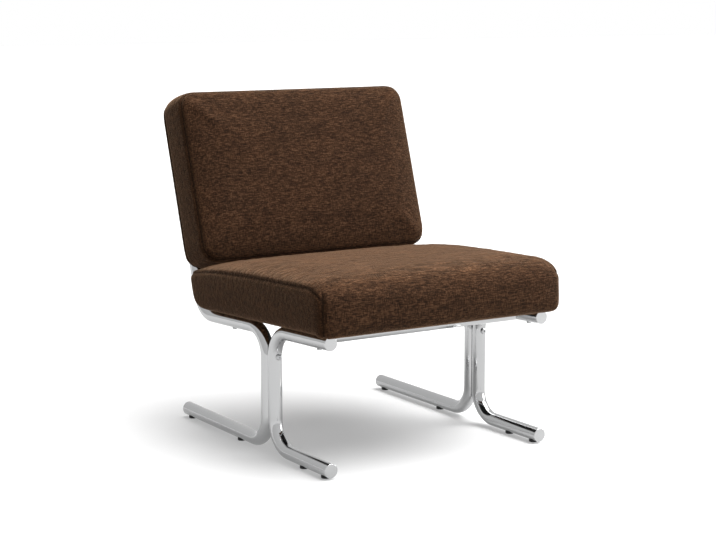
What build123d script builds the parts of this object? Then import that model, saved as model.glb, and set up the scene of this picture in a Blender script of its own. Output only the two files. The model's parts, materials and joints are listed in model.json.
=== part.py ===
"""Armless lounge chair: two bent-tube side frames carry an upholstered seat and back.

Millimetres, +Z up, the front of the chair faces -Y. The origin is on the floor, in the
middle of the chair's plan. Left is -X and right is +X, as seen from the front.
"""
import os
from math import cos, radians, sin, sqrt, tan

from build123d import *

os.makedirs("parts", exist_ok=True)

# Steel tube frame
tube_diameter = 32.0
tube_wall = 2.0
bend_radius = 64.0              # centreline of every bend
frame_spacing = 568.0           # between the centre planes of the two side frames
foot_length = 676.0             # front face to rear face of a side frame's feet
upright_setback = 241.0         # front face to the centre of the front upright
upright_gap = 0.4               # between the two uprights that stand back to back
rail_front_height = 299.0       # centre of the seat rail at its front end, above the floor
seat_slope = 2.6                # degrees, the rails fall towards the back
back_lean = 17.8                # degrees from upright
post_distance = 587.0           # along the rail, from its front face to the foot of the back post
post_length = 378.0             # along the back post, from the rail's centreline
front_cross_distance = 92.0     # along the rail to the front cross tube
rear_cross_distance = 480.0     # along the rail to the rear cross tube
weld_gap = 0.2                  # between a cross tube's shaped end and the rail

# End caps
cap_lip = 3.0
cap_edge_radius = 1.2
cap_plug_depth = 12.0
cap_plug_gap = 0.2

# Floor glides
glide_height = 4.0              # floor to the underside of the foot
glide_radius = 10.0
glide_edge = 1.0
glide_gap = 0.1
glide_stem_radius = 3.8
glide_stem_reach = 5.0
toe_glide_inset = 24.0          # from the end of a foot
heel_glide_offset = 127.0       # from the upright of the same tube

# Bolts that tie the two uprights, and their rivet nuts in the rear uprights
upright_bolt_radius = 4.0
upright_bolt_drop = 58.5        # below the rail's centreline at the front upright
upright_head_radius = 7.0
upright_head_height = 4.5
upright_head_lift = 1.2         # of the head's underside, where the tube starts to bend
rivet_nut_radius = 5.0
rivet_nut_length = 14.0
rivet_collar_radius = 6.0
rivet_collar_start = 5.0        # behind the rear upright's front
rivet_collar_length = 4.0
rivet_nut_gap = 0.1

# Bolts and tee nuts of the seat and the back
bolt_radius = 3.0
bolt_clearance = 0.3
bolt_head_radius = 6.0
bolt_head_height = 3.5
bolt_seat_gap = 0.1             # between a fastener and the tube that it bears on
tee_barrel_radius = 4.2
tee_flange_radius = 9.0
tee_flange_height = 1.3
tee_gap = 0.2
seat_bolt_front = 48.0          # along the rail
seat_bolt_rear = 430.0
back_bolt_low = 70.0            # up the back from its lower edge
back_bolt_high = 215.0

# Upholstery that the seat and the back share
cover_thickness = 2.5           # fabric; the crowns and sides also carry wadding
soft_gap = 0.3
timber_thickness = 22.0
timber_width = 70.0
strap_width = 50.0
strap_thickness = 1.5
strap_end_inset = 12.0

# Seat
seat_side_overhang = 39.0       # outside the side frames' centre planes
seat_overhang = 30.0            # ahead of the rails' front faces
seat_thickness = 126.0
seat_rest_gap = 0.4             # above the rails
seat_bend_gap = 4.0             # from the inside of the rear bend and the back post
seat_corner_radius = 24.0
seat_bottom_radius = 16.0
seat_side_height = 100.0        # of the side panels, where the top panel is sewn on
seat_roll_start = 77.0          # height at which the front and the rear start to roll over
seat_roll_reach = 52.0
seat_rear_roll_reach = 330.0
seat_frame_side_inset = 18.0
seat_frame_front_inset = 20.0
seat_frame_rear_inset = 20.0    # ahead of the rear bend's start
seat_lap = 60.0                 # cover turned in under the frame
seat_strap_count = 6
seat_foam_top = 95.0            # above the underside
seat_foam_corner = 30.0
seat_foam_rear = 20.0           # behind the rear bend's start

# Back
back_side_overhang = 33.0       # outside the side frames' centre planes
back_height = 412.0
back_box = 104.0                # rear face to the front seam
back_crown = 18.0
back_crown_reach = 62.0
back_lift = 106.5               # up the post from the rail's centreline to the lower edge
back_bed_depth = 9.0            # how far the posts bed into the back
back_bed_gap = 0.4
back_corner_radius = 44.0
back_edge_radius = 12.0
back_panel_depth = 14.0         # rear face to the seam of the rear panel
back_frame_inset = 20.0
back_strap_count = 5

tube_radius = tube_diameter / 2
seat_width = frame_spacing + 2 * seat_side_overhang
back_width = frame_spacing + 2 * back_side_overhang
frame_x = frame_spacing / 2
foot_z = glide_height + tube_radius
slope = radians(seat_slope)
lean = radians(back_lean)

# The back's rear face lies this far ahead of the posts' centrelines
back_face_ahead = tube_radius - back_bed_depth
back_top_reach = (
    post_distance * cos(slope)
    + (back_lift + back_height) * sin(lean)
    - back_face_ahead * cos(lean)
)
origin_setback = (back_top_reach - seat_overhang) / 2
front_y = -origin_setback
rear_y = front_y + foot_length
front_upright_y = front_y + upright_setback
rear_upright_y = front_upright_y + tube_diameter + upright_gap

sides = {"left": -1, "right": 1}


def rail_point(distance):
    """Y and Z of the rail's centreline at a distance behind its front face."""
    return (front_y + distance * cos(slope), rail_front_height - distance * sin(slope))


def post_point(distance):
    """Y and Z of the back post's centreline at a distance above the rail's centreline."""
    y, z = rail_point(post_distance)
    return (y + distance * sin(lean), z + distance * cos(lean))


def rail_height_at(y):
    """Height of the rail's centreline above a point of the floor."""
    return rail_front_height - (y - front_y) * tan(slope)


rail_plane = Plane(
    origin=(0, *rail_point(0)), x_dir=(1, 0, 0), z_dir=(0, sin(slope), cos(slope))
)
seat_plane = rail_plane.offset(tube_radius + seat_rest_gap)
back_plane = Plane(
    origin=(0, *post_point(back_lift)), x_dir=(1, 0, 0), z_dir=(0, -cos(lean), sin(lean))
).offset(back_face_ahead)

upright_bolt_z = rail_height_at(front_upright_y) - upright_bolt_drop
toe_glides = {"front": front_y + toe_glide_inset, "rear": rear_y - toe_glide_inset}
heel_glides = {
    "front": front_upright_y - heel_glide_offset,
    "rear": rear_upright_y + heel_glide_offset,
}
seat_bolt_spots = [
    (side * frame_x, distance)
    for side in sides.values()
    for distance in (seat_bolt_front, seat_bolt_rear)
]
back_bolt_spots = [
    (side * frame_x, height)
    for side in sides.values()
    for height in (back_bolt_low, back_bolt_high)
]


def save(piece, name):
    """Label a finished piece and write its file."""
    piece.label = name
    export_step(piece, f"parts/{name}.step")


# Bent tubes
front_tube_points = [
    (front_y + cap_lip, foot_z),
    (front_upright_y, foot_z),
    (front_upright_y, rail_height_at(front_upright_y)),
    rail_point(cap_lip),
]
rear_tube_points = [
    (rear_y - cap_lip, foot_z),
    (rear_upright_y, foot_z),
    (rear_upright_y, rail_height_at(rear_upright_y)),
    rail_point(post_distance),
    post_point(post_length),
]


def bent_tube(name, side, end, points, upright_y, upright_hole, seat_bolt, has_post):
    """One tube of a side frame, with its holes for glides and bolts."""
    x = side * frame_x
    with BuildPart() as tube:
        with BuildLine(Plane.YZ.offset(x)) as path:
            FilletPolyline(*points, radius=bend_radius)
        with BuildSketch(Plane(origin=path.line @ 0, z_dir=path.line % 0)):
            Circle(tube_radius)
            Circle(tube_radius - tube_wall, mode=Mode.SUBTRACT)
        sweep()
        with BuildSketch(Plane.XY):
            with Locations((x, toe_glides[end]), (x, heel_glides[end])):
                Circle(glide_stem_radius + glide_gap)
        extrude(amount=foot_z, mode=Mode.SUBTRACT)
        with BuildSketch(Plane.XZ.offset(-upright_y)):
            with Locations((x, upright_bolt_z)):
                Circle(upright_hole)
        extrude(amount=tube_diameter, both=not has_post, mode=Mode.SUBTRACT)
        with BuildSketch(rail_plane):
            with Locations((x, seat_bolt)):
                Circle(bolt_radius + bolt_clearance)
        extrude(amount=tube_diameter, both=True, mode=Mode.SUBTRACT)
        if has_post:
            with BuildSketch(back_plane):
                with Locations((x, back_bolt_low), (x, back_bolt_high)):
                    Circle(bolt_radius + bolt_clearance)
            extrude(amount=2 * tube_diameter, both=True, mode=Mode.SUBTRACT)
    save(tube.part, name)


for label, side in sides.items():
    bent_tube(
        f"{label}_front_tube", side, "front", front_tube_points, front_upright_y,
        upright_bolt_radius + bolt_clearance, seat_bolt_front, False,
    )
    bent_tube(
        f"{label}_rear_tube", side, "rear", rear_tube_points, rear_upright_y,
        rivet_nut_radius + rivet_nut_gap, seat_bolt_rear, True,
    )


# Cross tubes, with their ends shaped to the rails
def cross_tube(name, distance):
    with BuildPart() as tube:
        with BuildSketch(Plane.YZ) as ring:
            with Locations(rail_point(distance)):
                Circle(tube_radius)
                Circle(tube_radius - tube_wall, mode=Mode.SUBTRACT)
        extrude(amount=frame_x, both=True)
        with BuildSketch(Plane(origin=rail_plane.origin, z_dir=-rail_plane.y_dir, x_dir=(1, 0, 0))):
            with Locations((-frame_x, 0), (frame_x, 0)):
                Circle(tube_radius + weld_gap)
        extrude(amount=-(distance + tube_diameter), mode=Mode.SUBTRACT)
    save(tube.part, name)


cross_tube("front_cross_tube", front_cross_distance)
cross_tube("rear_cross_tube", rear_cross_distance)


# End caps, pressed into the tubes' open ends
def end_cap(name, x, point, outward):
    plane = Plane(origin=(x, *point), z_dir=(0, *outward))
    with BuildPart() as cap:
        with BuildSketch(plane):
            Circle(tube_radius)
        extrude(amount=cap_lip)
        rim = cap.faces().sort_by(Axis(plane.origin, plane.z_dir))[-1].edges()
        fillet(rim, cap_edge_radius)
        with BuildSketch(plane):
            Circle(tube_radius - tube_wall - cap_plug_gap)
        extrude(amount=-cap_plug_depth)
    save(cap.part, name)


for label, side in sides.items():
    x = side * frame_x
    end_cap(f"{label}_front_foot_cap", x, front_tube_points[0], (-1, 0))
    end_cap(f"{label}_rear_foot_cap", x, rear_tube_points[0], (1, 0))
    end_cap(f"{label}_front_rail_cap", x, front_tube_points[-1], (-cos(slope), sin(slope)))
    end_cap(f"{label}_back_post_cap", x, rear_tube_points[-1], (sin(lean), cos(lean)))


# Glides, saddled to the underside of the feet and held by a stem in a drilled hole
def glide(name, x, y):
    with BuildPart() as pad:
        with BuildSketch():
            with Locations((x, y)):
                Circle(glide_radius)
        extrude(amount=foot_z - sqrt(tube_radius**2 - glide_radius**2))
        chamfer(pad.faces().sort_by(Axis.Z)[0].edges(), glide_edge)
        with BuildSketch(Plane.XZ.offset(-y)):
            with Locations((x, foot_z)):
                Circle(tube_radius + glide_gap)
        extrude(amount=2 * glide_radius, both=True, mode=Mode.SUBTRACT)
        with BuildSketch(Plane.XY.offset(glide_edge)):
            with Locations((x, y)):
                Circle(glide_stem_radius)
        extrude(amount=glide_height + tube_wall + glide_stem_reach - glide_edge)
    save(pad.part, name)


for label, side in sides.items():
    for end in ("front", "rear"):
        glide(f"{label}_{end}_toe_glide", side * frame_x, toe_glides[end])
        glide(f"{label}_{end}_heel_glide", side * frame_x, heel_glides[end])


# Bolts that tie the uprights, with domed heads in front and rivet nuts behind
bolt_front_y = front_upright_y - tube_radius - upright_head_lift
nut_front_y = rear_upright_y - tube_radius
upright_spots = [(side * frame_x, upright_bolt_z) for side in sides.values()]

with BuildPart() as upright_bolts:
    with BuildSketch(Plane.XZ.offset(-bolt_front_y)):
        with Locations(*upright_spots):
            Circle(upright_head_radius)
    extrude(amount=upright_head_height)
    fillet(
        upright_bolts.faces().group_by(Axis.Y)[0].edges(),
        upright_head_height * 0.75,
    )
    with BuildSketch(Plane.XZ.offset(-bolt_front_y)):
        with Locations(*upright_spots):
            Circle(upright_bolt_radius)
    extrude(amount=-(nut_front_y - bolt_front_y + rivet_nut_length))
    with BuildSketch(Plane.XZ.offset(-bolt_front_y + upright_head_height)):
        with Locations(*upright_spots):
            RegularPolygon(upright_bolt_radius * 0.6, 6)
    extrude(amount=-upright_head_height * 0.6, mode=Mode.SUBTRACT)
save(upright_bolts.part, "upright_bolts")

with BuildPart() as upright_rivet_nuts:
    with BuildSketch(Plane.XZ.offset(-nut_front_y)):
        with Locations(*upright_spots):
            Circle(rivet_nut_radius)
    extrude(amount=-rivet_nut_length)
    with BuildSketch(Plane.XZ.offset(-nut_front_y - rivet_collar_start)):
        with Locations(*upright_spots):
            Circle(rivet_collar_radius)
    extrude(amount=-rivet_collar_length)
    with BuildSketch(Plane.XZ.offset(-nut_front_y)):
        with Locations(*upright_spots):
            Circle(upright_bolt_radius + rivet_nut_gap)
    extrude(amount=-rivet_nut_length, mode=Mode.SUBTRACT)
save(upright_rivet_nuts.part, "upright_rivet_nuts")

# Seat profile: the rear follows the inside of the rear bend, then the lean of the back post
post_tilt = lean - slope
bend_start = post_distance - bend_radius * tan((radians(90) - post_tilt) / 2)
bend_height = bend_radius - tube_radius - seat_rest_gap
nest_radius = bend_radius - tube_radius - seat_bend_gap
nest_top = bend_height - nest_radius * sin(post_tilt)


def seat_rear(height):
    """How far back the seat may reach at a height above its underside."""
    if height >= nest_top:
        return bend_start + nest_radius * cos(post_tilt) + (height - nest_top) * tan(post_tilt)
    return bend_start + sqrt(max(nest_radius**2 - (bend_height - height) ** 2, 0))


def side_inset(height):
    """How far the crowned top lies inside the side panels at a height."""
    rise = max(height - seat_side_height, 0) / (seat_thickness - seat_side_height)
    return seat_roll_reach * (1 - sqrt(1 - min(rise, 1) ** 2))


def seat_sections():
    """Height and the insets at the sides, the front and the rear, from the underside up."""
    sections = []
    for angle in (0, 45, 90):
        height = seat_bottom_radius * (1 - cos(radians(angle)))
        inset = seat_bottom_radius * (1 - sin(radians(angle)))
        sections.append((height, inset, inset, inset))
    for angle in (0, 20, 40, 60, 76, 90):
        height = seat_roll_start + (seat_thickness - seat_roll_start) * sin(radians(angle))
        share = 1 - cos(radians(angle))
        sections.append(
            (height, side_inset(height), seat_roll_reach * share, seat_rear_roll_reach * share)
        )
    return sections


def seat_form():
    """The seat's crowned outer form."""
    with BuildPart() as form:
        for height, side, front_inset, rear_inset in seat_sections():
            front = front_inset - seat_overhang
            rear = seat_rear(height) - rear_inset
            with BuildSketch(seat_plane.offset(height)):
                with Locations((0, (front + rear) / 2)):
                    RectangleRounded(
                        seat_width - 2 * side, rear - front, seat_corner_radius + front_inset / 3
                    )
        loft(ruled=True)
    return form.part


# Seat timber frame
seat_frame_x = seat_width / 2 - seat_frame_side_inset
seat_frame_front = seat_frame_front_inset - seat_overhang
seat_frame_rear = bend_start - seat_frame_rear_inset
seat_frame_mid = (seat_frame_front + seat_frame_rear) / 2
seat_frame_length = seat_frame_rear - seat_frame_front
seat_timber_base = cover_thickness + soft_gap
seat_timber_top = seat_timber_base + timber_thickness
seat_strap_base = seat_timber_top + soft_gap
seat_foam_floor = seat_strap_base + strap_thickness + soft_gap


def bolt_holes(plane, spots, base, top):
    """Tee-nut holes through timber, with room for the flange let in at the top."""
    with BuildPart() as holes:
        with BuildSketch(plane.offset(base)):
            with Locations(*spots):
                Circle(tee_barrel_radius + tee_gap)
        extrude(amount=top - base)
        with BuildSketch(plane.offset(top)):
            with Locations(*spots):
                Circle(tee_flange_radius + tee_gap)
        extrude(amount=-(tee_flange_height + tee_gap))
    return holes.part


def seat_cross_rail(name, middle):
    with BuildPart() as rail:
        with BuildSketch(seat_plane.offset(seat_timber_base)):
            with Locations((0, middle)):
                Rectangle(2 * seat_frame_x, timber_width)
        extrude(amount=timber_thickness)
        add(
            bolt_holes(seat_plane, seat_bolt_spots, seat_timber_base, seat_timber_top),
            mode=Mode.SUBTRACT,
        )
    save(rail.part, name)


def seat_side_rail(name, side):
    with BuildPart() as rail:
        with BuildSketch(seat_plane.offset(seat_timber_base)):
            with Locations((side * (seat_frame_x - timber_width / 2), seat_frame_mid)):
                Rectangle(timber_width, seat_frame_length - 2 * timber_width)
        extrude(amount=timber_thickness)
        add(
            bolt_holes(seat_plane, seat_bolt_spots, seat_timber_base, seat_timber_top),
            mode=Mode.SUBTRACT,
        )
    save(rail.part, name)


seat_cross_rail("seat_front_timber", seat_frame_front + timber_width / 2)
seat_cross_rail("seat_rear_timber", seat_frame_rear - timber_width / 2)
for label, side in sides.items():
    seat_side_rail(f"seat_{label}_timber", side)

with BuildPart() as seat_webbing:
    pitch = seat_frame_length / seat_strap_count
    with BuildSketch(seat_plane.offset(seat_strap_base)):
        with Locations((0, seat_frame_mid)):
            with GridLocations(0, pitch, 1, seat_strap_count):
                Rectangle(2 * (seat_frame_x - strap_end_inset), strap_width)
    extrude(amount=strap_thickness)
save(seat_webbing.part, "seat_webbing")

# Seat foam block, and the padded cover round it with its mouth under the timber frame
seat_foam_front = seat_frame_front
seat_foam_length = bend_start + seat_foam_rear - seat_foam_front
seat_foam_mid = seat_foam_front + seat_foam_length / 2
seat_foam_height = seat_foam_top - seat_foam_floor

with BuildPart() as seat_foam:
    with BuildSketch(seat_plane.offset(seat_foam_floor)):
        with Locations((0, seat_foam_mid)):
            RectangleRounded(2 * seat_frame_x, seat_foam_length, seat_foam_corner)
    extrude(amount=seat_foam_height)
save(seat_foam.part, "seat_foam")

seat_mouth = (2 * (seat_frame_x - seat_lap), seat_frame_length - 2 * seat_lap)
with BuildPart() as seat_cover:
    add(seat_form())
    with BuildSketch(seat_plane.offset(cover_thickness)):
        with Locations((0, seat_frame_mid)):
            Rectangle(2 * (seat_frame_x + soft_gap), seat_frame_length + 2 * soft_gap)
    extrude(amount=seat_foam_floor - cover_thickness, mode=Mode.SUBTRACT)
    with BuildSketch(seat_plane.offset(seat_foam_floor - soft_gap)):
        with Locations((0, seat_foam_mid)):
            RectangleRounded(
                2 * (seat_frame_x + soft_gap), seat_foam_length + 2 * soft_gap, seat_foam_corner
            )
    extrude(amount=seat_foam_height + 2 * soft_gap, mode=Mode.SUBTRACT)
    with BuildSketch(seat_plane):
        with Locations((0, seat_frame_mid)):
            Rectangle(*seat_mouth)
        with Locations(*seat_bolt_spots):
            Circle(bolt_radius + bolt_clearance)
    extrude(amount=cover_thickness, mode=Mode.SUBTRACT)
save(seat_cover.part, "seat_cover")

with BuildPart() as seat_dust_cover:
    with BuildSketch(seat_plane.offset(cover_thickness / 2)):
        with Locations((0, seat_frame_mid)):
            Rectangle(*(size - 2 * soft_gap for size in seat_mouth))
    extrude(amount=cover_thickness / 2)
save(seat_dust_cover.part, "seat_dust_cover")


# Bolts with domed heads, and the tee nuts that they run into
def bolt_set(name, plane, spots, tip):
    """Bolts that stand up from a plane, with their heads below it."""
    with BuildPart() as bolts:
        with BuildSketch(plane):
            with Locations(*spots):
                Circle(bolt_head_radius)
        extrude(amount=-bolt_head_height)
        outer = bolts.faces().group_by(Axis(plane.origin, plane.z_dir))[0].edges()
        fillet(outer, bolt_head_height * 0.75)
        with BuildSketch(plane):
            with Locations(*spots):
                Circle(bolt_radius)
        extrude(amount=tip)
    save(bolts.part, name)


def tee_nut_set(name, plane, spots, top):
    """Tee nuts with their flanges flush with the timber's far face."""
    with BuildPart() as nuts:
        with BuildSketch(plane.offset(top)):
            with Locations(*spots):
                Circle(tee_flange_radius)
        extrude(amount=-tee_flange_height)
        with BuildSketch(plane.offset(top)):
            with Locations(*spots):
                Circle(tee_barrel_radius)
        extrude(amount=-timber_thickness / 2)
        with BuildSketch(plane.offset(top)):
            with Locations(*spots):
                Circle(bolt_radius + bolt_seat_gap)
        extrude(amount=-timber_thickness / 2, mode=Mode.SUBTRACT)
    save(nuts.part, name)


seat_bolt_reach = 2 * tube_radius + seat_rest_gap + bolt_seat_gap + seat_timber_top
bolt_set(
    "seat_bolts", rail_plane.offset(-tube_radius - bolt_seat_gap), seat_bolt_spots, seat_bolt_reach
)
tee_nut_set("seat_tee_nuts", seat_plane, seat_bolt_spots, seat_timber_top)


# Back outline at a depth ahead of its rear face
def back_section(depth, inset):
    with BuildSketch(back_plane.offset(depth)) as section:
        with Locations((0, back_height / 2)):
            RectangleRounded(
                back_width - 2 * inset, back_height - 2 * inset, back_corner_radius - inset / 2
            )
    return section.sketch


def post_channels(radius, top):
    """Round channels along the back posts, to a length up the post."""
    with BuildPart() as channels:
        for side in sides.values():
            foot = (side * frame_x, *post_point(0))
            with BuildSketch(Plane(origin=foot, z_dir=(0, sin(lean), cos(lean)))):
                Circle(radius)
        extrude(amount=top)
    return channels.part


def back_rear_form(skin):
    """The back's rear layer, bedded on the posts, drawn in by a skin's thickness."""
    with BuildPart() as layer:
        extrude(back_section(skin, skin), amount=back_panel_depth - skin)
        rear_face = layer.faces().sort_by(Axis(back_plane.origin, back_plane.z_dir))[0]
        fillet(rear_face.edges(), back_edge_radius - skin)
        add(
            post_channels(
                tube_radius + back_bed_gap + skin, post_length + cap_lip + back_bed_gap + skin
            ),
            mode=Mode.SUBTRACT,
        )
    return layer.part


# Back timber frame
back_frame_x = back_width / 2 - back_frame_inset
back_frame_height = back_height - 2 * back_frame_inset
back_timber_base = back_panel_depth + soft_gap
back_timber_top = back_timber_base + timber_thickness
back_strap_base = back_timber_top + soft_gap
back_foam_floor = back_strap_base + strap_thickness + soft_gap

for label, side in sides.items():
    with BuildPart() as stile:
        with BuildSketch(back_plane.offset(back_timber_base)):
            with Locations((side * (back_frame_x - timber_width / 2), back_height / 2)):
                Rectangle(timber_width, back_frame_height)
        extrude(amount=timber_thickness)
        add(
            bolt_holes(back_plane, back_bolt_spots, back_timber_base, back_timber_top),
            mode=Mode.SUBTRACT,
        )
    save(stile.part, f"back_{label}_stile")

back_rail_heights = {
    "bottom": back_frame_inset + timber_width / 2,
    "top": back_height - back_frame_inset - timber_width / 2,
}
for label, height in back_rail_heights.items():
    with BuildPart() as rail:
        with BuildSketch(back_plane.offset(back_timber_base)):
            with Locations((0, height)):
                Rectangle(2 * (back_frame_x - timber_width), timber_width)
        extrude(amount=timber_thickness)
    save(rail.part, f"back_{label}_timber")

with BuildPart() as back_webbing:
    pitch = back_frame_height / back_strap_count
    with BuildSketch(back_plane.offset(back_strap_base)):
        with Locations((0, back_height / 2)):
            with GridLocations(0, pitch, 1, back_strap_count):
                Rectangle(2 * (back_frame_x - strap_end_inset), strap_width)
    extrude(amount=strap_thickness)
save(back_webbing.part, "back_webbing")

# Back foam block, and the padded cover round it with its crowned front
with BuildPart() as back_foam:
    with BuildSketch(back_plane.offset(back_foam_floor)):
        with Locations((0, back_height / 2)):
            Rectangle(2 * back_frame_x, back_frame_height)
    extrude(amount=back_box - back_foam_floor)
save(back_foam.part, "back_foam")

with BuildPart() as back_cover:
    extrude(back_section(back_timber_base, 0), amount=back_box - back_timber_base)
    crown_sections = []
    for share in (0, 0.25, 0.5, 0.75, 1):
        rise = back_crown * (1 - (1 - share) ** 2)
        crown_sections.append(back_section(back_box + rise, back_crown_reach * share))
    loft(crown_sections, ruled=True)
    with BuildSketch(back_plane.offset(back_timber_base)):
        with Locations((0, back_height / 2)):
            Rectangle(2 * (back_frame_x + soft_gap), back_frame_height + 2 * soft_gap)
    extrude(amount=back_box + soft_gap - back_timber_base, mode=Mode.SUBTRACT)
save(back_cover.part, "back_cover")


# Rear pad and rear fabric panel, with holes for the back bolts
def back_layer(name, form, hollow):
    with BuildPart() as layer:
        add(form)
        if hollow:
            add(hollow, mode=Mode.SUBTRACT)
        with BuildSketch(back_plane):
            with Locations(*back_bolt_spots):
                Circle(bolt_radius + bolt_clearance)
        extrude(amount=back_panel_depth, mode=Mode.SUBTRACT)
    save(layer.part, name)


back_layer("back_rear_pad", back_rear_form(cover_thickness + soft_gap), None)
back_layer("back_rear_panel", back_rear_form(0), back_rear_form(cover_thickness))

back_bolt_base = -back_face_ahead - tube_radius - bolt_seat_gap
bolt_set(
    "back_bolts", back_plane.offset(back_bolt_base), back_bolt_spots,
    back_timber_top - back_bolt_base,
)
tee_nut_set("back_tee_nuts", back_plane, back_bolt_spots, back_timber_top)
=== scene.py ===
"""Armless lounge chair: bright bent-tube side frames with an upholstered seat and back."""
import json
from math import cos, exp, radians, sin, sqrt, tan

import bmesh
import bpy
from mathutils import Matrix, Vector, noise


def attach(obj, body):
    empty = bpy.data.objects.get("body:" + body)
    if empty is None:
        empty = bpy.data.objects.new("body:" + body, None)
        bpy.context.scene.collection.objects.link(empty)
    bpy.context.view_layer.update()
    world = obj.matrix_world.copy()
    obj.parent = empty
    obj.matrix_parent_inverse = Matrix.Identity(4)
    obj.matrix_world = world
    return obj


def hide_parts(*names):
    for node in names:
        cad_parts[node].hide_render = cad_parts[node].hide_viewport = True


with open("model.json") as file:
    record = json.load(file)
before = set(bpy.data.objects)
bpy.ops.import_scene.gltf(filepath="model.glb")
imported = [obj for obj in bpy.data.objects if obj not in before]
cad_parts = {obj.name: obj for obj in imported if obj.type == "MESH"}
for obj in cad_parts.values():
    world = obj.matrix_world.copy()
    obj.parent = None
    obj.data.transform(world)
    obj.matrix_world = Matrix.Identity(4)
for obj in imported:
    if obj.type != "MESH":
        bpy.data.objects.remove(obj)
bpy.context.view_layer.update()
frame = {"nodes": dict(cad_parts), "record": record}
scene = bpy.context.scene

# Sizes in metres, in the chair's own frame: the front faces -Y
SEAT_SLOPE = radians(2.6)
BACK_LEAN = radians(17.8)
RAIL_FRONT_Y = -0.3541
RAIL_FRONT_Z = 0.299
TUBE_RADIUS = 0.016
HALF_FRAME = 0.284          # from the chair's middle to a tube's centreline
BEND_RADIUS = 0.064
POST_DISTANCE = 0.587       # along the rails, from their front ends to the posts
POST_TOP = 0.3814           # up a post, to the end of its pocket in the back
POST_ROOM = 0.0012          # between a post and its pocket
BACK_LIFT = 0.1065          # up a post, to the back's lower edge
BACK_AHEAD = 0.007          # from the posts' centrelines to the back's rear face
SEAT_BED = 0.0164           # from the rails' centrelines to the seat's underside

SEAT_HALF = 0.327
SEAT_FRONT = -0.033
SEAT_CORNER = 0.022
SEAT_SIDE_HEIGHT = 0.102
SEAT_FRONT_HEIGHT = 0.072
SEAT_REAR_HEIGHT = 0.078
SEAT_TOP = 0.1285
SEAT_SIDE_REACH = 0.056
SEAT_FRONT_REACH = 0.054
SEAT_REAR_REACH = 0.330
SEAT_DROOP = 0.0060
SEAT_SIDE_FALL = 0.0015     # of the crown towards the sides
SEAT_FRONT_FALL = 0.004     # of the crown towards the front
SEAT_CORNER_DROP = 0.014
SEAT_LEAN_START = 0.40      # behind this the seat follows the bend and the posts
SEAT_QUAD = 0.007
SEAT_NAP = 0.0009           # height of the tufts on the seat's top

MOUTH_HALF = 0.251          # the opening in the seat's underside
MOUTH_FRONT = 0.044
MOUTH_REAR = 0.464
MOUTH_SLOPE = 0.006
MOUTH_RISE = 0.003

BACK_HALF = 0.320
BACK_HEIGHT = 0.417
BACK_BOX = 0.104
BACK_REAR_SEAM = 0.014
BACK_CORNER = 0.042
BACK_BOW = 0.0015
BACK_CORNER_BOW = 0.005
BACK_CROWN = 0.017
BACK_CROWN_REACH = 0.062
BACK_QUAD = 0.0065

BLOCK_QUAD = 0.006          # mesh size of a plain block
BLOCK_INSET = 0.002         # room that the filling takes up
FILL_PRESSURE = 1.5
FILL_MOVE = 0.004           # a cover's points move less than this
FILL_FRAMES = 20
SEAM_INSET = 0.004          # from the outline to a seam
SEAM_DEPTH = 0.0034
SEAM_WIDTH = 0.0040
# Width of the painted shade along a seam
SEAM_SHADE_WIDTH = 0.0026
NO_SEAM = 1.0               # a distance past the reach of any seam

rail_along = Vector((0, cos(SEAT_SLOPE), -sin(SEAT_SLOPE)))
rail_normal = Vector((0, sin(SEAT_SLOPE), cos(SEAT_SLOPE)))
post_along = Vector((0, sin(BACK_LEAN), cos(BACK_LEAN)))
back_normal = Vector((0, -cos(BACK_LEAN), sin(BACK_LEAN)))
rail_front = Vector((0, RAIL_FRONT_Y, RAIL_FRONT_Z))
post_foot = rail_front + rail_along * POST_DISTANCE


def axes_matrix(origin, along, normal):
    """A placing matrix with X across the chair, Y along a piece and Z out of its face."""
    across = Vector((1, 0, 0))
    return Matrix.Translation(origin) @ Matrix((across, along, normal)).transposed().to_4x4()


seat_place = axes_matrix(rail_front + rail_normal * SEAT_BED, rail_along, rail_normal)
back_place = axes_matrix(
    post_foot + post_along * BACK_LIFT + back_normal * BACK_AHEAD, post_along, back_normal
)
seat_to_back = back_place.inverted() @ seat_place
back_to_seat = seat_to_back.inverted()


# Node graph helpers
def new_material(name):
    material = bpy.data.materials.new(name)
    material.use_nodes = True
    tree = material.node_tree
    return material, tree.nodes, tree.links, tree.nodes["Principled BSDF"]


def stretched_noise(nodes, links, scale, detail, roughness):
    """Noise on Object coordinates, with its own scale along each axis."""
    place = nodes.new("ShaderNodeTexCoord")
    mapping = nodes.new("ShaderNodeMapping")
    mapping.inputs["Scale"].default_value = scale
    texture = nodes.new("ShaderNodeTexNoise")
    texture.inputs["Scale"].default_value = 1.0
    texture.inputs["Detail"].default_value = detail
    texture.inputs["Roughness"].default_value = roughness
    links.new(place.outputs["Object"], mapping.inputs["Vector"])
    links.new(mapping.outputs["Vector"], texture.inputs["Vector"])
    return texture.outputs["Fac"]


def ramp(nodes, links, value, stops):
    """A colour ramp from a list of position and colour pairs."""
    node = nodes.new("ShaderNodeValToRGB")
    elements = node.color_ramp.elements
    while len(elements) < len(stops):
        elements.new(0.5)
    for element, (position, colour) in zip(elements, stops):
        element.position = position
        element.color = (*colour, 1)
    links.new(value, node.inputs["Fac"])
    return node.outputs["Color"]


def mix_colour(nodes, links, factor, first, second, kind="MIX"):
    node = nodes.new("ShaderNodeMix")
    node.data_type = "RGBA"
    node.blend_type = kind
    colour_sockets = (node.inputs[0], node.inputs[6], node.inputs[7])
    for socket, value in zip(colour_sockets, (factor, first, second)):
        if isinstance(value, bpy.types.NodeSocket):
            links.new(value, socket)
        else:
            socket.default_value = value
    return node.outputs[2]


def maths(nodes, links, operation, *values):
    node = nodes.new("ShaderNodeMath")
    node.operation = operation
    for socket, value in zip(node.inputs, values):
        if isinstance(value, bpy.types.NodeSocket):
            links.new(value, socket)
        else:
            socket.default_value = value
    return node.outputs[0]


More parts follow.
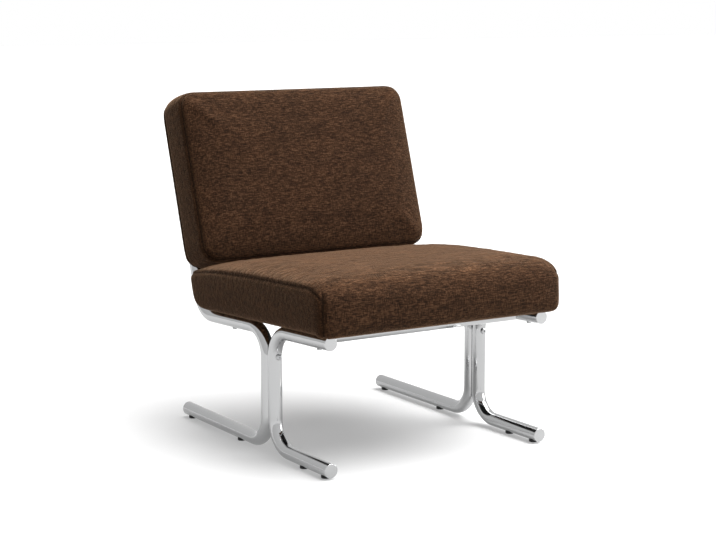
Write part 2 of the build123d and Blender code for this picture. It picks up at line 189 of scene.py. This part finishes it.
def bump(nodes, links, shader, height, strength, distance):
    node = nodes.new("ShaderNodeBump")
    node.inputs["Strength"].default_value = strength
    node.inputs["Distance"].default_value = distance
    links.new(height, node.inputs["Height"])
    links.new(node.outputs["Normal"], shader.inputs["Normal"])


# Finishes
def brown_chenille():
    """Dark brown pile fabric: slubs along the weft, fine pile, a soft sheen, painted light on
    its up-facing tops and painted shade along the seams.
    """
    material, nodes, links, shader = new_material("brown_chenille")
    geometry = nodes.new("ShaderNodeNewGeometry")
    facing = nodes.new("ShaderNodeSeparateXYZ")
    links.new(geometry.outputs["Normal"], facing.inputs["Vector"])
    weave = 0.5
    threads_by_axis = (
        ("X", (72, 430, 430), 1.05), ("Y", (430, 95, 430), 0.80), ("Z", (430, 430, 95), 0.80),
    )
    for axis, scale, share in threads_by_axis:
        threads = stretched_noise(nodes, links, scale, 3.0, 0.6)
        threads = maths(nodes, links, "SUBTRACT", threads, 0.5)
        seen = maths(nodes, links, "MULTIPLY", facing.outputs[axis], facing.outputs[axis])
        seen = maths(nodes, links, "SUBTRACT", 1.0, seen)
        seen = maths(nodes, links, "MULTIPLY", seen, share)
        threads = maths(nodes, links, "MULTIPLY", threads, seen)
        weave = maths(nodes, links, "ADD", threads, weave)
    pile = stretched_noise(nodes, links, (1500, 1500, 1500), 2.0, 0.5)
    slub = stretched_noise(nodes, links, (34, 90, 90), 4.0, 0.65)
    nap = stretched_noise(nodes, links, (20, 100, 100), 3.0, 0.6)
    brushed = stretched_noise(nodes, links, (9, 14, 22), 3.0, 0.55)
    colour = ramp(nodes, links, weave, [
        (0.30, (0.010, 0.0042, 0.0018)),
        (0.50, (0.035, 0.0156, 0.0070)),
        (0.70, (0.086, 0.0418, 0.0214)),
    ])
    shade = ramp(nodes, links, brushed, [(0.30, (0.85, 0.85, 0.85)), (0.70, (1.14, 1.13, 1.12))])
    colour = mix_colour(nodes, links, 1.0, colour, shade, "MULTIPLY")
    shade = ramp(nodes, links, slub, [(0.30, (0.88, 0.87, 0.86)), (0.70, (1.12, 1.12, 1.12))])
    colour = mix_colour(nodes, links, 1.0, colour, shade, "MULTIPLY")
    # Painted light: up-facing fabric is made up to about 2.7 times lighter, broken into streaks
    # by the nap noise, in place of the light and sheen that fall on the tops.
    upward = maths(nodes, links, "MULTIPLY", facing.outputs["Z"], facing.outputs["Z"])
    shade = ramp(nodes, links, nap, [(0.36, (0.95, 0.97, 0.99)), (0.64, (2.55, 2.66, 2.77))])
    shade = mix_colour(nodes, links, upward, (1, 1, 1, 1), shade)
    colour = mix_colour(nodes, links, 1.0, colour, shade, "MULTIPLY")
    # Painted shade: the fabric is darkened towards near black along the seams, where the grooves
    # would be in shade.
    seam = nodes.new("ShaderNodeAttribute")
    seam.attribute_name = "seam"
    dark = maths(nodes, links, "MULTIPLY", seam.outputs["Fac"], 0.75)
    colour = mix_colour(nodes, links, dark, colour, (0.008, 0.004, 0.002, 1))
    links.new(colour, shader.inputs["Base Color"])
    shader.inputs["Roughness"].default_value = 0.88
    shader.inputs["Specular IOR Level"].default_value = 0.08
    shader.inputs["Sheen Weight"].default_value = 0.7
    shader.inputs["Sheen Roughness"].default_value = 0.34
    shader.inputs["Sheen Tint"].default_value = (0.76, 0.49, 0.31, 1)
    height = maths(nodes, links, "ADD", weave, maths(nodes, links, "MULTIPLY", pile, 0.35))
    height = maths(nodes, links, "MULTIPLY_ADD", height, 0.45, slub)
    lift = maths(nodes, links, "MULTIPLY", nap, maths(nodes, links, "MULTIPLY", upward, 1.5))
    height = maths(nodes, links, "ADD", height, lift)
    bump(nodes, links, shader, height, 1.0, 0.0022)
    return material


def bright_chrome(name, colour, low, high):
    """Polished plating with faint cloudy smears in its gloss."""
    material, nodes, links, shader = new_material(name)
    smear = stretched_noise(nodes, links, (16, 16, 16), 4.0, 0.6)
    hairline = stretched_noise(nodes, links, (900, 120, 900), 2.0, 0.5)
    blend = maths(nodes, links, "ADD", maths(nodes, links, "MULTIPLY", smear, 0.7),
                  maths(nodes, links, "MULTIPLY", hairline, 0.3))
    spread = nodes.new("ShaderNodeMapRange")
    spread.inputs["From Min"].default_value = 0.3
    spread.inputs["From Max"].default_value = 0.7
    spread.inputs["To Min"].default_value = low
    spread.inputs["To Max"].default_value = high
    links.new(blend, spread.inputs["Value"])
    links.new(spread.outputs["Result"], shader.inputs["Roughness"])
    tone = ramp(nodes, links, smear, [(0.3, tuple(0.97 * c for c in colour)), (0.7, colour)])
    links.new(tone, shader.inputs["Base Color"])
    shader.inputs["Metallic"].default_value = 1.0
    return material


def grained(name, scale, stops, roughness, bump_strength, bump_distance):
    """A matt finish with its grain in both colour and relief."""
    material, nodes, links, shader = new_material(name)
    grain = stretched_noise(nodes, links, scale, 4.0, 0.6)
    links.new(ramp(nodes, links, grain, stops), shader.inputs["Base Color"])
    shader.inputs["Roughness"].default_value = roughness
    bump(nodes, links, shader, grain, bump_strength, bump_distance)
    return material


fabric = brown_chenille()
finishes = {
    "chrome_tube": bright_chrome("polished_chrome", (0.60, 0.603, 0.607), 0.05, 0.11),
    "chrome_cap": bright_chrome("cap_chrome", (0.66, 0.663, 0.667), 0.10, 0.20),
    "glide_plastic": grained(
        "black_glide", (900, 900, 900),
        [(0.3, (0.012, 0.012, 0.012)), (0.7, (0.022, 0.022, 0.023))], 0.55, 0.3, 0.0003),
    "steel_fixing": bright_chrome("zinc_steel", (0.58, 0.585, 0.59), 0.22, 0.36),
    "frame_timber": grained(
        "beech_timber", (18, 260, 260),
        [(0.30, (0.42, 0.27, 0.14)), (0.70, (0.60, 0.42, 0.24))], 0.6, 0.3, 0.0004),
    "webbing": grained(
        "woven_webbing", (300, 900, 300),
        [(0.35, (0.010, 0.009, 0.008)), (0.65, (0.030, 0.027, 0.024))], 0.85, 0.6, 0.0008),
    "foam": grained(
        "cream_foam", (500, 500, 500),
        [(0.3, (0.55, 0.49, 0.32)), (0.7, (0.72, 0.66, 0.47))], 0.95, 0.6, 0.0008),
    "brown_fabric": fabric,
    "dust_cloth": grained(
        "black_dust_cloth", (700, 700, 700),
        [(0.35, (0.008, 0.008, 0.008)), (0.65, (0.020, 0.020, 0.020))], 0.9, 0.5, 0.0004),
}
for entry in frame["record"]["subparts"]:
    node = frame["nodes"][entry["node"]]
    node.data.materials.clear()
    node.data.materials.append(finishes[entry["material_slot"]])


# Upholstery
def evaluated_mesh(piece):
    graph = bpy.context.evaluated_depsgraph_get()
    return bpy.data.meshes.new_from_object(piece.evaluated_get(graph))


def remesh(piece, voxel):
    """Rebuild a closed piece from even quads."""
    step = piece.modifiers.new("even_quads", "REMESH")
    step.mode = "VOXEL"
    step.voxel_size = voxel
    piece.data = evaluated_mesh(piece)
    piece.modifiers.clear()


def soft_block(name, low, high, corner, edge, voxel):
    """A closed block with rounded upright corners and an eased lower edge, in even quads."""
    block = bmesh.new()
    bmesh.ops.create_cube(block, size=1)
    size = Vector(high) - Vector(low)
    bmesh.ops.scale(block, vec=size, verts=block.verts)
    bmesh.ops.translate(block, vec=(Vector(high) + Vector(low)) / 2, verts=block.verts)
    upright = [e for e in block.edges if abs(e.verts[0].co.z - e.verts[1].co.z) > size.z / 2]
    bmesh.ops.bevel(block, geom=upright, offset=corner, offset_type="OFFSET", segments=8,
                    profile=0.5, affect="EDGES", material=-1)
    lower = [e for e in block.edges if max(v.co.z for v in e.verts) < low[2] + size.z / 4]
    bmesh.ops.bevel(block, geom=lower, offset=edge, offset_type="OFFSET", segments=4,
                    profile=0.5, affect="EDGES", material=-1)
    mesh = bpy.data.meshes.new(name)
    block.to_mesh(mesh)
    block.free()
    piece = bpy.data.objects.new(name, mesh)
    scene.collection.objects.link(piece)
    remesh(piece, voxel)
    return piece


def reshape(piece, move):
    for vertex in piece.data.vertices:
        vertex.co = move(vertex.co)
    piece.data.update()


def relax(piece, rounds):
    mesh = bmesh.new()
    mesh.from_mesh(piece.data)
    for _ in range(rounds):
        bmesh.ops.smooth_vert(mesh, verts=mesh.verts, factor=0.5,
                              use_axis_x=True, use_axis_y=True, use_axis_z=True)
    mesh.to_mesh(piece.data)
    mesh.free()


def swell(piece, sewn):
    """Fill a cover: cloth under pressure, held where it is sewn, with each move eased."""
    rest = [v.co.copy() for v in piece.data.vertices]
    held = piece.vertex_groups.new(name="sewn")
    for vertex in piece.data.vertices:
        hold = sewn(vertex.co)
        if hold > 0.01:
            held.add([vertex.index], hold, "REPLACE")
    cloth = piece.modifiers.new("filling", "CLOTH")
    cloth.settings.quality = 4
    cloth.settings.mass = 0.3
    cloth.settings.tension_stiffness = 25
    cloth.settings.compression_stiffness = 25
    cloth.settings.shear_stiffness = 12
    cloth.settings.bending_stiffness = 2.0
    cloth.settings.use_pressure = True
    cloth.settings.uniform_pressure_force = FILL_PRESSURE
    cloth.settings.effector_weights.gravity = 0
    cloth.settings.vertex_group_mass = "sewn"
    cloth.point_cache.frame_start = 1
    cloth.point_cache.frame_end = FILL_FRAMES
    for step in range(1, FILL_FRAMES + 1):
        scene.frame_set(step)
    piece.data = evaluated_mesh(piece)
    piece.modifiers.clear()
    piece.vertex_groups.clear()
    scene.frame_set(1)
    for vertex, start in zip(piece.data.vertices, rest):
        moved = vertex.co - start
        vertex.co = start + moved * FILL_MOVE / (FILL_MOVE + moved.length)


def finish_cushion(piece, seam_distance, nap, place, node):
    """Smooth once more, ruffle the nap, press the seams in and paint shade along them, and set
    the cushion on the chair.
    """
    smooth = piece.modifiers.new("smooth", "SUBSURF")
    smooth.levels = smooth.render_levels = 1
    piece.data = evaluated_mesh(piece)
    piece.modifiers.clear()
    mesh = piece.data
    # The seam attribute holds the painted shade along each seam, which darkens the fabric there.
    seam_shade_marks = mesh.attributes.new("seam", "FLOAT", "POINT")
    normals = [v.normal.copy() for v in mesh.vertices]
    for vertex, normal, seam_shade_mark in zip(mesh.vertices, normals, seam_shade_marks.data):
        gap = seam_distance(vertex.co)
        tuft = noise.noise(vertex.co * 48) + 0.6 * noise.noise(vertex.co * 105)
        vertex.co += normal * nap * tuft * max(normal.z, 0) ** 3
        vertex.co -= normal * SEAM_DEPTH * exp(-((gap / SEAM_WIDTH) ** 2))
        seam_shade_mark.value = exp(-((gap / SEAM_SHADE_WIDTH) ** 2))
    mesh.transform(place)
    mesh.polygons.foreach_set("use_smooth", [True] * len(mesh.polygons))
    mesh.materials.clear()
    mesh.materials.append(fabric)
    mesh.update()
    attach(piece, "root")
    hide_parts(*node)


def quarter_roll(distance, reach):
    """Rises from 0 at an edge to 1 at the roll's reach."""
    share = min(max(distance / reach, 0), 1)
    return sqrt(1 - (1 - share) ** 2)


# Seat: in its own axes X across, Y back along the rails, Z up from its underside
post_tilt = BACK_LEAN - SEAT_SLOPE
bend_start = POST_DISTANCE - BEND_RADIUS * tan((radians(90) - post_tilt) / 2)
bend_height = BEND_RADIUS - TUBE_RADIUS - 0.0004
nest_radius = BEND_RADIUS - TUBE_RADIUS - 0.004
nest_top = bend_height - nest_radius * sin(post_tilt)
SEAT_BLOCK_REAR = bend_start + nest_radius * cos(post_tilt)


def seat_rear(height):
    """How far back the seat reaches at a height: round the tube bend, then along the post."""
    if height >= nest_top:
        return SEAT_BLOCK_REAR + (height - nest_top) * tan(post_tilt)
    return bend_start + sqrt(max(nest_radius**2 - (bend_height - height) ** 2, 0))


def seat_droop(x, y):
    """How far the padding hangs down ahead of the rails and between their front ends."""
    beside_rail = min(max((abs(x) - 0.245) / 0.012, 0), 1)
    reach = 0.060 * (1 - beside_rail) + 0.004
    share = min(max(1 - y / reach, 0), 1)
    return SEAT_DROOP * share * share * (3 - 2 * share)


def seat_top(x, y):
    """Height of the crowned top over a point of the plan."""
    fall = SEAT_SIDE_FALL * max(1 - (SEAT_HALF - abs(x)) / 0.20, 0) ** 2
    fall += SEAT_FRONT_FALL * max(1 - (y - SEAT_FRONT) / 0.24, 0) ** 2
    side_roll = quarter_roll(SEAT_HALF - abs(x), SEAT_SIDE_REACH)
    front_roll = quarter_roll(y - SEAT_FRONT, SEAT_FRONT_REACH)
    rear_roll = quarter_roll(SEAT_BLOCK_REAR - y, SEAT_REAR_REACH)
    height = SEAT_SIDE_HEIGHT
    height += (SEAT_TOP - fall - height) * side_roll
    height = SEAT_FRONT_HEIGHT + (height - SEAT_FRONT_HEIGHT) * front_roll
    corner = max(1 - (SEAT_HALF - abs(x)) / 0.06, 0) * max(1 - (y - SEAT_FRONT) / 0.06, 0)
    height -= SEAT_CORNER_DROP * corner
    return SEAT_REAR_HEIGHT + (height - SEAT_REAR_HEIGHT) * rear_roll


def seat_crown(co):
    """Crown the top, lean the rear and let the front hang, from a plain block."""
    share = co.z / SEAT_SIDE_HEIGHT
    height = share * seat_top(co.x, co.y) - (1 - share) * seat_droop(co.x, co.y)
    slide = seat_rear(height) - SEAT_BLOCK_REAR
    reach = min(max((co.y - SEAT_LEAN_START) / (SEAT_BLOCK_REAR - SEAT_LEAN_START), 0), 1)
    return Vector((co.x, co.y + slide * reach, height))


def under_back(co):
    """Press the seat's top down where the back stands on it."""
    local = seat_to_back @ co
    if -0.02 < local.z < BACK_BOX + BACK_CROWN + 0.02 and local.y > -0.001 and co.z > 0.06:
        local.y = -0.001
        return back_to_seat @ local
    return co


def under_mouth(co):
    """Raise the underside inside the cover's mouth, so that the dust cover shows."""
    inside = min(MOUTH_HALF - abs(co.x), co.y - MOUTH_FRONT, MOUTH_REAR - co.y) / MOUTH_SLOPE
    if co.z > 0.008 or inside < 0:
        return co
    return Vector((co.x, co.y, co.z + MOUTH_RISE * min(inside, 1)))


def seat_sewn(co):
    """The underside is tacked to the frame, and the side panels are sewn along their seams."""
    seam = seat_seam(co)
    tacked = 1.0 if co.z < 0.006 and co.y > 0.010 else 0.0
    return max(tacked, exp(-((seam / 0.008) ** 2)))


def seat_seam(co):
    """Distance to the seam round a side panel: up the front corner and along the top edge."""
    inward = SEAT_HALF - SEAM_INSET - abs(co.x)
    if inward > 0.03:
        return NO_SEAM
    top_edge = corner = NO_SEAM
    if inward < 0.012:
        top_edge = abs(co.z - seat_top(SEAT_HALF, co.y) - 0.001)
    front = co.y - SEAT_FRONT - SEAM_INSET
    if co.z < seat_top(SEAT_HALF - 0.010, co.y) and front < 0.02:
        corner = abs(inward - front) / sqrt(2)
    return min(top_edge, corner)


def make_seat():
    low = (-SEAT_HALF + BLOCK_INSET, SEAT_FRONT + BLOCK_INSET, 0.0005)
    high = (SEAT_HALF - BLOCK_INSET, SEAT_BLOCK_REAR, SEAT_SIDE_HEIGHT)
    seat = soft_block("seat_cushion", low, high, SEAT_CORNER, 0.014, BLOCK_QUAD)
    reshape(seat, seat_crown)
    remesh(seat, SEAT_QUAD)
    relax(seat, 4)
    swell(seat, seat_sewn)
    relax(seat, 2)
    reshape(seat, under_back)
    reshape(seat, under_mouth)
    finish_cushion(seat, seat_seam, SEAT_NAP, seat_place, ["seat_cover"])


# Back: in its own axes X across, Y up along the posts, Z forward from its rear face
def back_inset(co):
    """How far a point lies inside the back's rounded outline."""
    dx = abs(co.x) - (BACK_HALF - BACK_CORNER)
    dy = abs(co.y - BACK_HEIGHT / 2) - (BACK_HEIGHT / 2 - BACK_CORNER)
    outside = sqrt(max(dx, 0) ** 2 + max(dy, 0) ** 2)
    return BACK_CORNER - outside - min(max(dx, dy), 0)


def bow_boxing(co):
    """How far the boxing bows out between its two seams, most at the upper corners."""
    across = max(abs(co.x) - (BACK_HALF - BACK_CORNER), 0)
    upward = max(abs(co.y - BACK_HEIGHT / 2) - (BACK_HEIGHT / 2 - BACK_CORNER), 0)
    reach = sqrt(across**2 + upward**2)
    if reach == 0:
        return 0, 0
    bow = BACK_BOW
    if co.y > BACK_HEIGHT / 2:
        bow += BACK_CORNER_BOW * 2 * across * upward / reach**2
    bow *= sin(radians(180) * min(max(co.z / BACK_BOX, 0), 1)) / reach
    return (bow * across * (1 if co.x > 0 else -1),
            bow * upward * (1 if co.y > BACK_HEIGHT / 2 else -1))


def back_crown(co):
    """Crown the front panel, ease the rest of the block towards it and bow the boxing."""
    side = back_inset(co)
    share = min(max(side / BACK_CROWN_REACH, 0), 1)
    rise = BACK_CROWN * (1 - (1 - share) ** 2) + 0.004 * min(max(side - 0.05, 0) / 0.15, 1)
    across, upward = bow_boxing(co)
    return Vector((co.x + across, co.y + upward, co.z * (1 + rise / BACK_BOX)))


def round_posts(co):
    """Press the rear in where the posts stand against it, with a steep end over each post."""
    across = abs(co.x) - HALF_FRAME
    reach = TUBE_RADIUS + POST_ROOM
    if abs(across) >= reach:
        return co
    front = sqrt(reach**2 - across**2) - BACK_AHEAD
    end = POST_TOP - BACK_LIFT
    if co.z > front or co.y > end + BACK_QUAD:
        return co
    if co.y > end:
        return Vector((co.x, end + 0.0005, co.z))
    if co.y > end - BACK_QUAD:
        return Vector((co.x, end, front))
    return Vector((co.x, co.y, front))


def back_seam(co):
    """Distance to the nearer of the two seams that run round the boxing."""
    side = back_inset(co)
    if side > 0.03:
        return NO_SEAM
    front = NO_SEAM
    if co.z > BACK_BOX - 0.03:
        front = abs(BACK_BOX - co.z - (side - SEAM_INSET)) / sqrt(2)
    return min(front, abs(co.z - BACK_REAR_SEAM))


def back_sewn(co):
    """The rear is held against the frame, and the boxing is sewn along its two seams."""
    seam = back_seam(co)
    return max(1.0 if co.z < 0.010 else 0.0, exp(-((seam / 0.006) ** 2)))


def make_back():
    low = (-BACK_HALF + BLOCK_INSET, -0.0015, -0.0010)
    high = (BACK_HALF - BLOCK_INSET, BACK_HEIGHT - BLOCK_INSET, BACK_BOX)
    back = soft_block("back_cushion", low, high, BACK_CORNER, 0.004, BLOCK_QUAD)
    reshape(back, back_crown)
    remesh(back, BACK_QUAD)
    relax(back, 2)
    swell(back, back_sewn)
    reshape(back, round_posts)
    covers = ["back_cover", "back_rear_panel"]
    finish_cushion(back, back_seam, 0.0, back_place, covers)


make_seat()
make_back()


# Studio: pale floor, soft lights and the camera
def pale_floor():
    plan = bmesh.new()
    bmesh.ops.create_grid(plan, x_segments=1, y_segments=1, size=30)
    mesh = bpy.data.meshes.new("floor")
    plan.to_mesh(mesh)
    plan.free()
    floor = bpy.data.objects.new("floor", mesh)
    scene.collection.objects.link(floor)
    material, nodes, links, shader = new_material("pale_floor")
    shader.inputs["Roughness"].default_value = 0.9
    shader.inputs["Specular IOR Level"].default_value = 0.0
    path = nodes.new("ShaderNodeLightPath")
    shader.inputs["Emission Color"].default_value = (1, 1, 1, 1)
    viewed = path.outputs["Is Camera Ray"]
    seen = maths(nodes, links, "MAXIMUM", viewed, path.outputs["Is Glossy Ray"])
    tone = mix_colour(nodes, links, viewed, (0.37, 0.37, 0.37, 1), (0.66, 0.66, 0.66, 1))
    links.new(tone, shader.inputs["Base Color"])
    glow = maths(nodes, links, "MULTIPLY", seen, 0.29)
    links.new(glow, shader.inputs["Emission Strength"])
    mesh.materials.append(material)


def soft_light(name, place, aim, size, energy):
    lamp = bpy.data.lights.new(name, "AREA")
    lamp.shape = "DISK"
    lamp.size = size
    lamp.energy = energy
    light = bpy.data.objects.new(name, lamp)
    light.location = place
    light.rotation_euler = (Vector(aim) - Vector(place)).to_track_quat("-Z", "Y").to_euler()
    scene.collection.objects.link(light)


def soft_sun(name, place, spread, strength):
    """An even light from far off, which throws one soft shadow."""
    lamp = bpy.data.lights.new(name, "SUN")
    lamp.angle = radians(spread)
    lamp.energy = strength
    light = bpy.data.objects.new(name, lamp)
    light.rotation_euler = (-Vector(place)).to_track_quat("-Z", "Y").to_euler()
    scene.collection.objects.link(light)


def studio_sky():
    world = bpy.data.worlds.new("studio")
    world.use_nodes = True
    scene.world = world
    nodes, links = world.node_tree.nodes, world.node_tree.links
    back = nodes["Background"]
    place = nodes.new("ShaderNodeTexCoord")
    facing = nodes.new("ShaderNodeVectorMath")
    facing.operation = "DOT_PRODUCT"
    facing.inputs[1].default_value = (0.55, -0.50, 0.67)
    links.new(place.outputs["Generated"], facing.inputs[0])
    height = maths(nodes, links, "MULTIPLY_ADD", facing.outputs["Value"], 0.5, 0.5)
    sky = ramp(nodes, links, height, [(0.0, (0.04, 0.04, 0.04)), (0.30, (0.11, 0.11, 0.11)),
                                      (0.65, (0.24, 0.24, 0.24)), (1.0, (0.43, 0.43, 0.43))])
    path = nodes.new("ShaderNodeLightPath")
    mirrored = maths(nodes, links, "MULTIPLY", path.outputs["Is Glossy Ray"], 0.6)
    seen = maths(nodes, links, "MAXIMUM", path.outputs["Is Camera Ray"], mirrored)
    links.new(mix_colour(nodes, links, seen, sky, (1, 1, 1, 1)), back.inputs["Color"])
    back.inputs["Strength"].default_value = 1.0


pale_floor()
studio_sky()
soft_sun("top", (0.90, -0.42, 2.2), 60, 5.2)
soft_light("side", (2.6, -1.6, 0.8), (0, 0, 0.45), 1.2, 26)

lens = bpy.data.cameras.new("camera")
lens.sensor_fit = "HORIZONTAL"
lens.sensor_width = 36.0
lens.lens = 85.33
camera = bpy.data.objects.new("camera", lens)
camera.location = (-2.1275, -3.3623, 1.0259)
camera.rotation_euler = (radians(90 - 9.149), 0, radians(-32.4307))
scene.collection.objects.link(camera)
scene.camera = camera
scene.view_settings.view_transform = "Standard"
